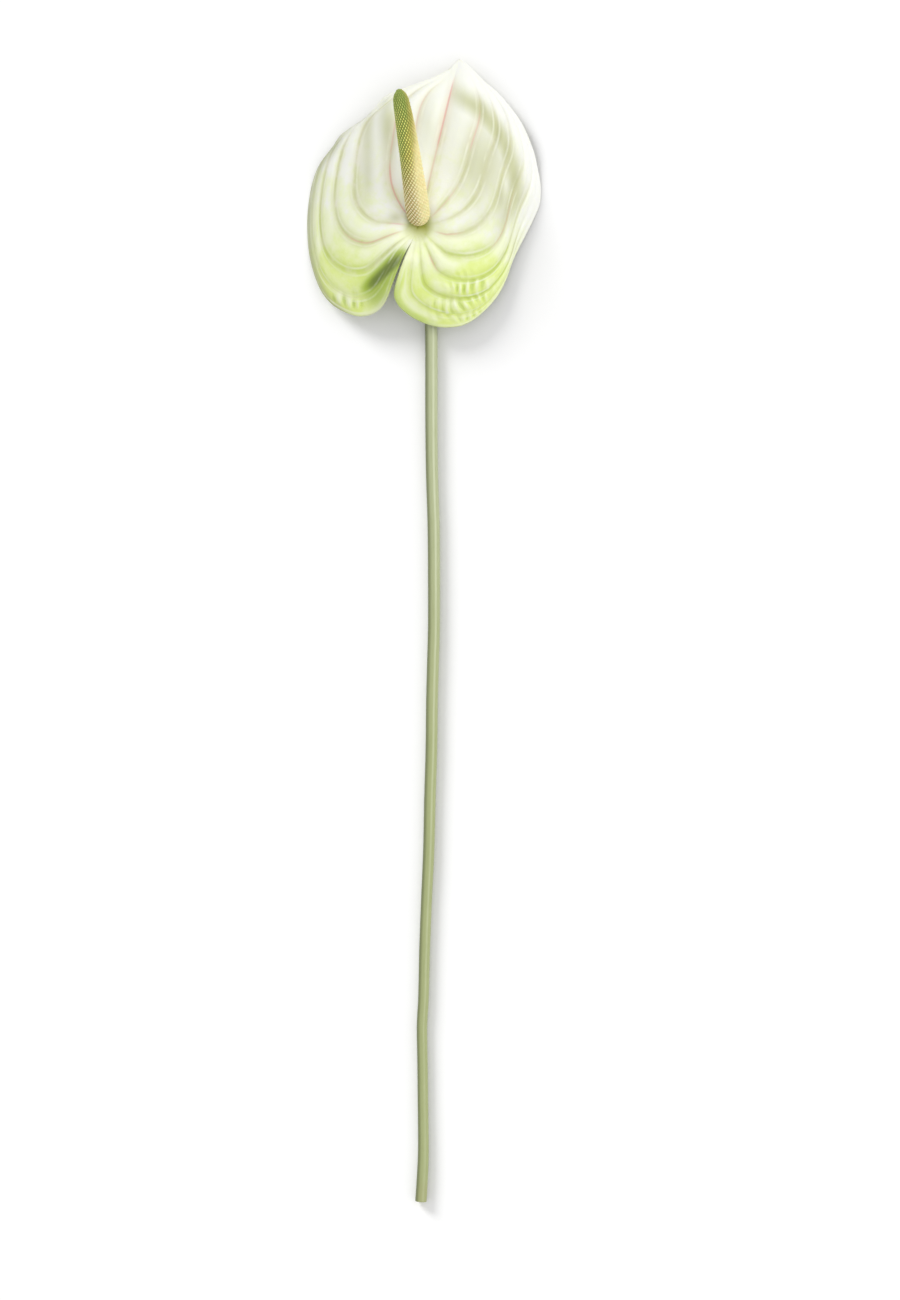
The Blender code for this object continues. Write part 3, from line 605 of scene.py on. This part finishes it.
def build_stem(leaf):
    """The stem, whose upper end follows the underside of the leaf."""
    _, under, triangles = leaf
    line, stops = stem_path()
    ahead, side, raised = frame_along(line[:, :3])
    turns = (np.arange(STEM_SIDES) + 0.5) * 2 * math.pi / STEM_SIDES
    radius = line[:, 3][:, None] * (1 + 0.006 * np.sin(5 * turns)[None, :] * np.sin(stops / 37.0)[:, None])
    rings = (
        line[:, None, :3]
        + radius[..., None] * (np.sin(turns)[None, :, None] * side[:, None, :]
                               - np.cos(turns)[None, :, None] * raised[:, None, :])
    )
    for index in range(STEM_SIDES):
        for _ in range(10):
            here = rings[0, index]
            wanted = height_at(under, triangles, here[:2])[0] - STEM_SEAM
            rings[0, index] = here - ahead[0] * (wanted - here[2]) / max(-ahead[0][2], 0.3)
    # Rings that the fitted top ring has passed are left out.
    highest = rings[0, :, 1] - CLEAR_OF_TOP_RING
    first_free = next(k for k in range(1, STEM_RINGS) if (rings[k, :, 1] < highest).all())
    rings = np.concatenate((rings[:1], rings[first_free:]))
    end = line[-1, :3]
    rings[-1] += ((rings[-1] - end) @ raised[-1])[:, None] * CUT_SLOPE * ahead[-1]
    closing, places = cut_end(rings[-1], end, line[-1, 3], ahead[-1])
    rings = np.concatenate((rings, closing))
    reached = np.concatenate((stops[:1], stops[first_free:], stops[-1] + places))
    points = rings.reshape(-1, 3)
    points[:, 2] = np.maximum(points[:, 2], 0.0)
    points = np.vstack((points, rings[0].mean(axis=0), rings[-1].mean(axis=0)))
    faces = tube_faces(len(rings), STEM_SIDES, len(points) - 2, len(points) - 1)
    is_cut = np.repeat(reached > stops[-1] + CUT_COLOUR_START, STEM_SIDES)
    cut = np.concatenate((is_cut, (False, True))).astype(float)
    pith = np.linalg.norm(points - end, axis=1) / line[-1, 3]
    values = {
        "along": np.concatenate((np.repeat(reached, STEM_SIDES), (0.0, reached[-1]))),
        "around": np.concatenate((np.tile(turns, len(rings)), (0.0, 0.0))),
        "cut": cut,
        "pith": np.where(cut > 0, pith, 2.0),
    }
    return make_object("stem_stalk", points, faces, values)


def floret_pattern(turns, ring):
    """Relief of the florets, and the place of each point in its floret."""
    # Florets stand in a diamond pattern: each is a rounded tile with a small pit and a stigma in it.
    a = FLORETS_AROUND * turns[None, :] / (2 * math.pi) * np.ones_like(ring)[:, None]
    b = FLORET_RINGS * ring[:, None] / 2 * np.ones_like(turns)[None, :]
    p, q = a + b, a - b
    fp, fq = np.abs(p - np.round(p)) * 2, np.abs(q - np.round(q)) * 2
    tile = (1 - fp**3.5) * (1 - fq**3.5)
    dot_gap = np.hypot(fp, fq)
    pit = np.exp(-((dot_gap / 0.42) ** 2))
    stigma = np.exp(-((dot_gap / 0.2) ** 2))
    # A fixed hash of the floret's place gives each its own size and shade.
    jitter = np.sin(12.9898 * np.round(p) + 78.233 * np.round(q)) * 43758.5453
    jitter = jitter - np.floor(jitter)
    fade = ease(ring, 0.0, 0.02)[:, None] * (1 - 0.6 * ease(ring, 0.93, 1.0))[:, None]
    height = FLORET_HEIGHT * fade * (tile * (0.85 + 0.3 * jitter) - 0.35 * pit + 0.45 * stigma)
    return height, tile, dot_gap, jitter


def build_spadix(leaf):
    """The spadix, whose base follows the upper face of the leaf."""
    top, _, triangles = leaf
    p0, p1, p2, p3 = (np.array(p) for p in SPADIX_BEND)
    t = np.linspace(0.0, 1.0, SPADIX_SAMPLES)[:, None]
    bend = (1 - t) ** 3 * p0 + 3 * t * (1 - t) ** 2 * p1 + 3 * t**2 * (1 - t) * p2 + t**3 * p3
    length = lengths_along(bend)[-1]
    walked = lengths_along(bend) / length
    ahead, side, raised = frame_along(bend)
    profile = np.interp(walked, *np.array(SPADIX_RADIUS).T)
    window = np.ones(SPADIX_SOFTENING) / SPADIX_SOFTENING
    profile = np.convolve(np.pad(profile, SPADIX_SOFTENING // 2, mode="edge"), window, mode="valid")
    ring = np.arange(SPADIX_STEPS + 1) / SPADIX_STEPS
    turns = 2 * math.pi * np.arange(SPADIX_COLUMNS) / SPADIX_COLUMNS

    def skin(share, turn, raise_by):
        local, sideways, upward = (
            np.stack([np.interp(share, walked, values) for values in line.T], axis=-1)
            for line in (bend, side, raised)
        )
        reach = (np.interp(share, walked, profile) + raise_by)[..., None]
        return local + reach * (np.sin(turn)[..., None] * sideways - np.cos(turn)[..., None] * upward)

    starts = np.zeros(len(turns))
    for _ in range(14):
        spots = skin(starts, turns + SPADIX_TWIST * starts, np.zeros(len(turns)))
        short = height_at(top, triangles, spots[:, :2]) + SPADIX_SEAM - spots[:, 2]
        starts = np.clip(starts + short / length, 0.0, FARTHEST_START)
    share = starts[None, :] * (1 - ring[:, None]) + ring[:, None]
    turn = turns[None, :] + SPADIX_TWIST * share
    height, tile, dot_gap, jitter = floret_pattern(turns, ring)
    points = skin(share, turn, height).reshape(-1, 3)
    base = points[:SPADIX_COLUMNS].mean(axis=0)
    tip = bend[-1] + ahead[-1] * TIP_OVERHANG
    points = np.vstack((points, base, tip))
    faces = tube_faces(SPADIX_STEPS + 1, SPADIX_COLUMNS, len(points) - 2, len(points) - 1)
    sideways = np.sin(turn)
    # Each value has two more entries, for the middle of the base and the tip.
    values = {
        "along": np.append(np.repeat(ring, SPADIX_COLUMNS), (0.0, 1.0)),
        "lit_side": np.append(sideways, (0.0, 0.0)),
        # The dots and seams fade out towards the right side as painted light.
        "dotted": np.append(1 - 0.85 * ease(sideways, -0.05, 0.45), (1.0, 1.0)),
        "tile": np.append(tile, (0.0, 0.5)),
        "dot_gap": np.append(dot_gap, (1.0, 1.0)),
        "jitter": np.append(jitter, (0.5, 0.5)),
    }
    return make_object("spadix_florets", points, faces, values)


# Materials


def linear(red, green, blue):
    """A display colour from 0 to 255 as a linear shader colour."""
    shares = (red / 255, green / 255, blue / 255)
    return tuple(((c + 0.055) / 1.055) ** 2.4 if c > 10 / 255 else c / 12.92 for c in shares)


class Shader:
    """A short way to write node trees."""

    def __init__(self, name):
        self.material = bpy.data.materials.new(name)
        self.material.use_nodes = True
        self.tree = self.material.node_tree
        self.principled = self.tree.nodes["Principled BSDF"]

    def put(self, node, key, value):
        """Links an output to an input, or sets the input to a value."""
        if value is None:
            return
        if hasattr(value, "is_output"):
            self.tree.links.new(value, node.inputs[key])
        else:
            node.inputs[key].default_value = value

    def attribute(self, name):
        node = self.tree.nodes.new("ShaderNodeAttribute")
        node.attribute_name = name
        return node.outputs["Fac"]

    def position(self):
        return self.tree.nodes.new("ShaderNodeTexCoord").outputs["Object"]

    def math(self, operation, a, b=None, clamp=False):
        node = self.tree.nodes.new("ShaderNodeMath")
        node.operation = operation
        node.use_clamp = clamp
        for key, value in enumerate((a, b)):
            self.put(node, key, value)
        return node.outputs[0]

    def times(self, a, b):
        return self.math("MULTIPLY", a, b)

    def spread(self, noise, width):
        """A noise from 0 to 1 as a value of the given width about 0."""
        return self.times(self.math("SUBTRACT", noise, 0.5), width)

    def span(self, value, low, high, to_low=0.0, to_high=1.0, smooth=True):
        """The value's place from low to high, as a number from to_low to to_high."""
        node = self.tree.nodes.new("ShaderNodeMapRange")
        node.interpolation_type = "SMOOTHSTEP" if smooth else "LINEAR"
        self.put(node, "Value", value)
        for key, number in (("From Min", low), ("From Max", high), ("To Min", to_low), ("To Max", to_high)):
            self.put(node, key, number)
        return node.outputs["Result"]

    def mix(self, share, first, second):
        node = self.tree.nodes.new("ShaderNodeMix")
        node.data_type = "RGBA"
        self.put(node, 0, share)
        for key, colour in ((6, first), (7, second)):
            if isinstance(colour, tuple):
                colour = (*colour, 1.0)
            self.put(node, key, colour)
        return node.outputs[2]

    def noise(self, vector, scale, detail, roughness):
        node = self.tree.nodes.new("ShaderNodeTexNoise")
        self.put(node, "Vector", vector)
        self.put(node, "Scale", scale)
        self.put(node, "Detail", detail)
        self.put(node, "Roughness", roughness)
        return node.outputs["Fac"]

    def combine(self, x, y, z):
        node = self.tree.nodes.new("ShaderNodeCombineXYZ")
        for key, value in enumerate((x, y, z)):
            self.put(node, key, value)
        return node.outputs[0]

    def cells(self, vector, scale):
        """Distance from the edges of a net of cells."""
        node = self.tree.nodes.new("ShaderNodeTexVoronoi")
        node.feature = "DISTANCE_TO_EDGE"
        self.put(node, "Vector", vector)
        self.put(node, "Scale", scale)
        return node.outputs["Distance"]

    def bump(self, height, distance, strength, normal=None):
        node = self.tree.nodes.new("ShaderNodeBump")
        self.put(node, "Height", height)
        self.put(node, "Distance", distance)
        self.put(node, "Strength", strength)
        if normal is not None:
            self.put(node, "Normal", normal)
        return node.outputs[0]

    def set(self, **sockets):
        """Fills inputs of the principled shader by name."""
        for key, value in sockets.items():
            key = key.replace("_", " ")
            if isinstance(value, tuple):
                value = (*value, 1.0)
            self.put(self.principled, key, value)


# The leaf's colours. Each pair is that of a vein's bed and that of the pillow beside it; the darker beds are
# partly the leaf's own tone and partly painted shade.
LEAF_WHITE = (linear(230, 228, 204), linear(248, 250, 238))
LEAF_PALE = (linear(212, 217, 166), linear(242, 249, 206))
LEAF_LIME = (linear(190, 211, 92), linear(224, 240, 138))
VALLEY_SHADE = linear(192, 195, 148)
BAND_HIGHLIGHT = linear(248, 249, 242)
WRINKLE_TOP = linear(244, 250, 216)
WRINKLE_FURROW = linear(166, 192, 66)
RIM_WHITE = linear(250, 251, 240)
LEFT_RIM_SHADE = linear(150, 156, 106)
FOLD_SHADE_OLIVE = (linear(164, 188, 66), linear(96, 116, 10))
VEIN_LINE = linear(198, 192, 140)
VEIN_RIDGE = linear(250, 253, 234)
VEIN_PINK = linear(226, 146, 146)
PINK_GLOW = linear(240, 208, 196)
HEM_SHADE_GREEN = linear(182, 206, 88)
HEM_PALE = linear(242, 250, 206)
THROAT_SHADE_OLIVE = linear(160, 164, 48)
LEAF_BACK = (linear(232, 232, 208), linear(190, 204, 128))


def spathe_colour(s, where, blotches):
    """Colour of the leaf from its markings, its veins and soft blotches."""
    crest, green, wrinkle = s.attribute("crest"), s.attribute("green"), s.attribute("wrinkle")
    vein_gap, clear, pink = s.attribute("vein_gap"), s.attribute("clear"), s.attribute("pink")
    fold_shade = s.attribute("fold_shade")
    along = s.combine(s.times(s.attribute("arc"), 0.03), s.times(s.attribute("lateral"), 6.0), 0.0)
    streaks = s.noise(along, 2.2, 4.0, 0.6)
    # How green each place is: more in the lobes, in the valleys and in soft blotches.
    greenness = s.math("ADD", green, s.spread(streaks, 0.7))
    greenness = s.math("ADD", greenness, s.spread(blotches, 1.1))
    greenness = s.math("SUBTRACT", greenness, s.times(crest, 0.14), clamp=True)
    # The beds are darker than the pillow tops, partly as painted shade.
    on_pillow = s.span(crest, 0.0, 0.9)
    white, pale, lime = (s.mix(on_pillow, *pair) for pair in (LEAF_WHITE, LEAF_PALE, LEAF_LIME))
    colour = s.mix(s.span(greenness, 0.04, 0.4), white, pale)
    colour = s.mix(s.span(greenness, 0.38, 0.92), colour, lime)
    # Painted shade of the valleys.
    colour = s.mix(s.times(s.attribute("painted_valley_shade"), 0.95), colour, VALLEY_SHADE)
    # The rolled band on the right is painted white as highlight.
    band_highlight = s.times(s.attribute("band"), s.span(blotches, 0.3, 0.65, 0.6, 0.95))
    colour = s.mix(band_highlight, colour, BAND_HIGHLIGHT)
    # The tops of the fine wrinkles are paler and their furrows darker green: partly the leaf's own tone, partly
    # painted highlight on the tops and painted shade in the furrows.
    colour = s.mix(s.span(wrinkle, 0.05, 0.6, 0.0, 0.6), colour, WRINKLE_TOP)
    colour = s.mix(s.span(wrinkle, -0.05, -0.6, 0.0, 0.5), colour, WRINKLE_FURROW)
    rim = s.span(s.attribute("rim_gap"), 0.4, 2.6, 0.6, 0.0)
    colour = s.mix(s.times(rim, s.span(green, 0.2, 0.9, 0.9, 0.35)), colour, RIM_WHITE)
    # Painted shade of the rolled left rim.
    colour = s.mix(s.times(s.attribute("rolled"), 0.75), colour, LEFT_RIM_SHADE)
    # Painted shade of the fold beside the notch, in dark olive.
    olive_shade = s.mix(s.span(fold_shade, 0.4, 1.0), *FOLD_SHADE_OLIVE)
    colour = s.mix(s.span(fold_shade, 0.0, 0.55, 0.0, 0.96), colour, olive_shade)
    line = s.times(s.span(vein_gap, 0.1, 0.9, 1.0, 0.0), clear)
    colour = s.mix(s.times(line, 0.2), colour, VEIN_LINE)
    # A thin pale ridge runs beside each vein.
    beside = s.math("ABSOLUTE", s.math("SUBTRACT", vein_gap, 1.9))
    ridge = s.times(s.span(beside, 0.0, 1.0, 0.5, 0.0), clear)
    colour = s.mix(s.times(ridge, s.span(blotches, 0.35, 0.6)), colour, VEIN_RIDGE)
    line_pink = s.times(s.span(vein_gap, 0.15, 0.75, 1.0, 0.0), pink)
    colour = s.mix(s.times(line_pink, 0.7), colour, VEIN_PINK)
    colour = s.mix(s.times(s.span(vein_gap, 0.4, 4.0, 0.2, 0.0), pink), colour, PINK_GLOW)
    # Painted shade of the right lobe's rolled hem.
    colour = s.mix(s.times(s.attribute("hem_shade"), 0.7), colour, HEM_SHADE_GREEN)
    colour = s.mix(s.times(s.attribute("hem_line"), 0.7), colour, HEM_PALE)
    # Round the junction, under the base of the spadix, the leaf is painted olive as shade.
    colour = s.mix(s.span(s.attribute("reach"), 3.0, 9.5, 0.95, 0.0), colour, THROAT_SHADE_OLIVE)
    return s.mix(s.attribute("back"), colour, s.mix(green, *LEAF_BACK))


def spathe_material():
    s = Shader("spathe_wax")
    where = s.position()
    blotches = s.noise(where, 55.0, 4.0, 0.6)
    fine = s.noise(where, 320.0, 3.0, 0.6)
    net = s.cells(where, 620.0)
    beds = s.times(s.span(s.attribute("vein_gap"), 0.0, 0.9), s.attribute("clear"))
    bumps = s.bump(beds, 0.00015, 0.4)
    bumps = s.bump(s.span(net, 0.0, 0.2), 0.00003, 0.35, bumps)
    bumps = s.bump(blotches, 0.0006, 0.35, bumps)
    bumps = s.bump(fine, 0.00006, 0.5, bumps)
    rough = s.math("ADD", s.span(fine, 0.2, 0.8, 0.3, 0.42), s.times(s.attribute("back"), 0.2))
    s.set(Base_Color=spathe_colour(s, where, blotches), Roughness=rough, Normal=bumps)
    s.set(Coat_Weight=0.12, Coat_Roughness=0.22, Subsurface_Weight=0.12, Subsurface_Scale=0.004)
    s.principled.inputs["Subsurface Radius"].default_value = (0.9, 1.0, 0.4)
    return s.material


# The florets' colours. Each pair is the range over which one floret differs from the next.
FLORET_GREEN = (linear(136, 158, 62), linear(160, 180, 88))
FLORET_OLIVE = (linear(172, 168, 70), linear(196, 188, 92))
FLORET_YELLOW = (linear(240, 226, 158), linear(250, 238, 180))
BASE_SHADE_BROWN = linear(192, 166, 100)
SEAM_COLOURS = (linear(92, 112, 26), linear(164, 144, 66))
STIGMA_COLOURS = (linear(240, 234, 126), linear(253, 243, 208))


def spadix_material():
    s = Shader("spadix_florets")
    along, lit, dotted = s.attribute("along"), s.attribute("lit_side"), s.attribute("dotted")
    tile, jitter = s.attribute("tile"), s.attribute("jitter")
    where = s.position()
    patch = s.noise(where, 140.0, 2.0, 0.5)
    # Ripe florets at the base are pale yellow and young ones at the tip green; the right side is painted paler
    # yellow as painted light.
    ripe_and_lit = s.math("ADD", s.span(along, 0.2, 0.95, 0.82, -0.12, smooth=False), s.times(lit, 0.36))
    ripe_and_lit = s.math("ADD", ripe_and_lit, s.spread(patch, 0.2), clamp=True)
    green, olive_shade, yellow = (s.mix(jitter, *pair) for pair in (FLORET_GREEN, FLORET_OLIVE, FLORET_YELLOW))
    colour = s.mix(s.span(ripe_and_lit, 0.02, 0.35), green, olive_shade)
    colour = s.mix(s.span(ripe_and_lit, 0.3, 0.72), colour, yellow)
    # The left side of the base is painted brown as shade.
    left_base_shade = s.times(s.span(along, 0.55, 0.15), s.span(lit, 0.2, -0.4))
    colour = s.mix(s.times(left_base_shade, 0.6), colour, BASE_SHADE_BROWN)
    # Dark seams between the florets, fading out on the right side as painted light.
    seam = s.times(s.span(tile, 0.8, 0.2), s.span(ripe_and_lit, 0.4, 0.9, 0.9, 0.5))
    seam = s.times(seam, s.math("MAXIMUM", dotted, s.span(along, 0.5, 0.8)))
    colour = s.mix(seam, colour, s.mix(s.span(ripe_and_lit, 0.05, 0.6), *SEAM_COLOURS))
    # The stigmas show as pale dots on the left side, and are lost in the painted light of the pale right side.
    dot = s.times(s.span(s.attribute("dot_gap"), 0.75, 0.35), s.span(along, 1.0, 0.75, 0.2, 1.0))
    colour = s.mix(s.times(dot, dotted), colour, s.mix(s.span(along, 0.6, 0.2), *STIGMA_COLOURS))
    bumps = s.bump(s.noise(where, 1400.0, 2.0, 0.5), 0.00005, 0.5)
    s.set(Base_Color=colour, Roughness=s.span(tile, 0.2, 0.9, 0.62, 0.45), Normal=bumps)
    s.set(Subsurface_Weight=0.1, Subsurface_Scale=0.002)
    return s.material


# The stem's colours. Each pair is the range of its broad patches, or of the cut from middle to rim.
STEM_UPPER = (linear(176, 184, 142), linear(188, 195, 156))
STEM_LOWER = (linear(158, 167, 112), linear(170, 178, 124))
STEM_STREAK = linear(142, 152, 92)
STEM_END_BROWN = linear(150, 138, 90)
STEM_FLANK_SHADE = (linear(98, 108, 58), linear(112, 120, 72))
STEM_SATIN_HIGHLIGHT = linear(222, 228, 196)
CUT_FLESH = (linear(228, 226, 190), linear(178, 190, 128))
CUT_STRANDS = linear(190, 180, 120)


def stem_material():
    s = Shader("stem_skin")
    along, around, cut, pith = (s.attribute(key) for key in ("along", "around", "cut", "pith"))
    where = s.position()
    turned = s.math("SINE", around)
    stretched = s.combine(turned, s.math("COSINE", around), s.times(along, 0.012))
    streaks = s.noise(stretched, 7.0, 5.0, 0.6)
    broad = s.noise(where, 22.0, 3.0, 0.5)
    colour = s.mix(s.span(along, 60.0, 330.0), s.mix(broad, *STEM_UPPER), s.mix(broad, *STEM_LOWER))
    colour = s.mix(s.span(streaks, 0.42, 0.75, 0.0, 0.35), colour, STEM_STREAK)
    colour = s.mix(s.span(along, 506.0, 514.0, 0.0, 0.2), colour, STEM_END_BROWN)
    # The left flank is painted a deeper green as shade, and a painted satin highlight runs along the right of the
    # middle.
    colour = s.mix(s.span(turned, 0.3, 0.9, 0.0, 0.85), colour, s.mix(broad, *STEM_FLANK_SHADE))
    satin_highlight = s.span(s.math("ABSOLUTE", s.math("ADD", turned, 0.32)), 0.0, 0.26, 0.42, 0.0)
    satin_highlight = s.times(satin_highlight, s.span(along, 500.0, 120.0, 0.15, 1.0))
    colour = s.mix(satin_highlight, colour, STEM_SATIN_HIGHLIGHT)
    flesh = s.mix(s.span(pith, 0.75, 0.95), *CUT_FLESH)
    strands = s.cells(s.combine(s.times(pith, 4.0), around, 0.0), 3.0)
    flesh = s.mix(s.span(strands, 0.12, 0.02, 0.0, 0.4), flesh, CUT_STRANDS)
    bumps = s.bump(streaks, 0.0003, 0.25)
    bumps = s.bump(s.noise(where, 900.0, 2.0, 0.5), 0.00003, 0.4, bumps)
    colour = s.mix(cut, colour, flesh)
    s.set(Base_Color=colour, Roughness=s.span(streaks, 0.3, 0.7, 0.34, 0.46), Normal=bumps)
    s.set(Coat_Weight=0.15, Coat_Roughness=0.3)
    return s.material


def floor_material():
    s = Shader("pale_floor")
    grain = s.noise(s.position(), 6.0, 2.0, 0.5)
    s.set(Base_Color=s.mix(grain, (0.93, 0.93, 0.93), (0.95, 0.95, 0.95)), Roughness=0.8)
    s.set(Specular_IOR_Level=0.1)
    return s.material


# Scene

leaf_object, leaf = build_spathe()
stem_object = build_stem(leaf)
spadix_object = build_spadix(leaf)
for made, node, surface in (
    (leaf_object, "spathe", spathe_material()),
    (stem_object, "stem", stem_material()),
    (spadix_object, "spadix", spadix_material()),
):
    made.data.materials.append(surface)
    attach(made, "root")
    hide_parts(node)

half_floor = FLOOR_SIZE / 2
corner_signs = ((-1, -1), (1, -1), (1, 1), (-1, 1))
floor_corners = [(x * half_floor, y * half_floor, -FLOOR_DROP) for x, y in corner_signs]
floor_mesh = bpy.data.meshes.new("floor")
floor_mesh.from_pydata(floor_corners, [], [(0, 1, 2, 3)])
floor = bpy.data.objects.new("floor", floor_mesh)
bpy.context.scene.collection.objects.link(floor)
floor.data.materials.append(floor_material())


def light_group(name, *members):
    """A collection of the objects that a light falls on."""
    group = bpy.data.collections.new(name)
    for member in members:
        group.objects.link(member)
    return group


def sun_light(name, coming_from, spread, strength, receivers):
    data = bpy.data.lights.new(name, "SUN")
    data.angle = math.radians(spread)
    data.energy = strength
    made = bpy.data.objects.new(name, data)
    made.rotation_euler = (-Vector(coming_from)).to_track_quat("-Z", "Y").to_euler()
    bpy.context.scene.collection.objects.link(made)
    made.light_linking.receiver_collection = receivers
    return made


flower_group = light_group("lit_flower", leaf_object, stem_object, spadix_object)
floor_group = light_group("lit_floor", floor)
sun_light("key", (0.8, 0.25, 1.0), 65.0, 1.5, flower_group)
sun_light("fill", (-0.7, 0.3, 1.0), 80.0, 0.7, flower_group)
sun_light("floor_light", (-1.0, 1.1, 0.78), 24.0, 2.1, floor_group)
floor_fill = sun_light("floor_fill", (0.0, 0.0, 1.0), 150.0, 0.95, floor_group)
floor_fill.data.use_shadow = False

scene = bpy.context.scene
world = bpy.data.worlds.new("studio")
world.use_nodes = True
world.node_tree.nodes["Background"].inputs["Color"].default_value = (1.0, 1.0, 1.0, 1.0)
world.node_tree.nodes["Background"].inputs["Strength"].default_value = WORLD_STRENGTH
scene.world = world
scene.view_settings.view_transform = "Standard"

# The camera looks straight down.
camera_data = bpy.data.cameras.new("camera")
camera_data.sensor_width = SENSOR_WIDTH
camera_data.lens = SENSOR_WIDTH * CAMERA_HEIGHT / FRAME_HEIGHT
camera_data.clip_end = 50.0
camera = bpy.data.objects.new("camera", camera_data)
middle_x, middle_y = (np.array(FRAME_MIDDLE) - CENTRE[:2]) * MM
camera.location = (middle_x, middle_y, CAMERA_HEIGHT)
scene.collection.objects.link(camera)
scene.camera = camera
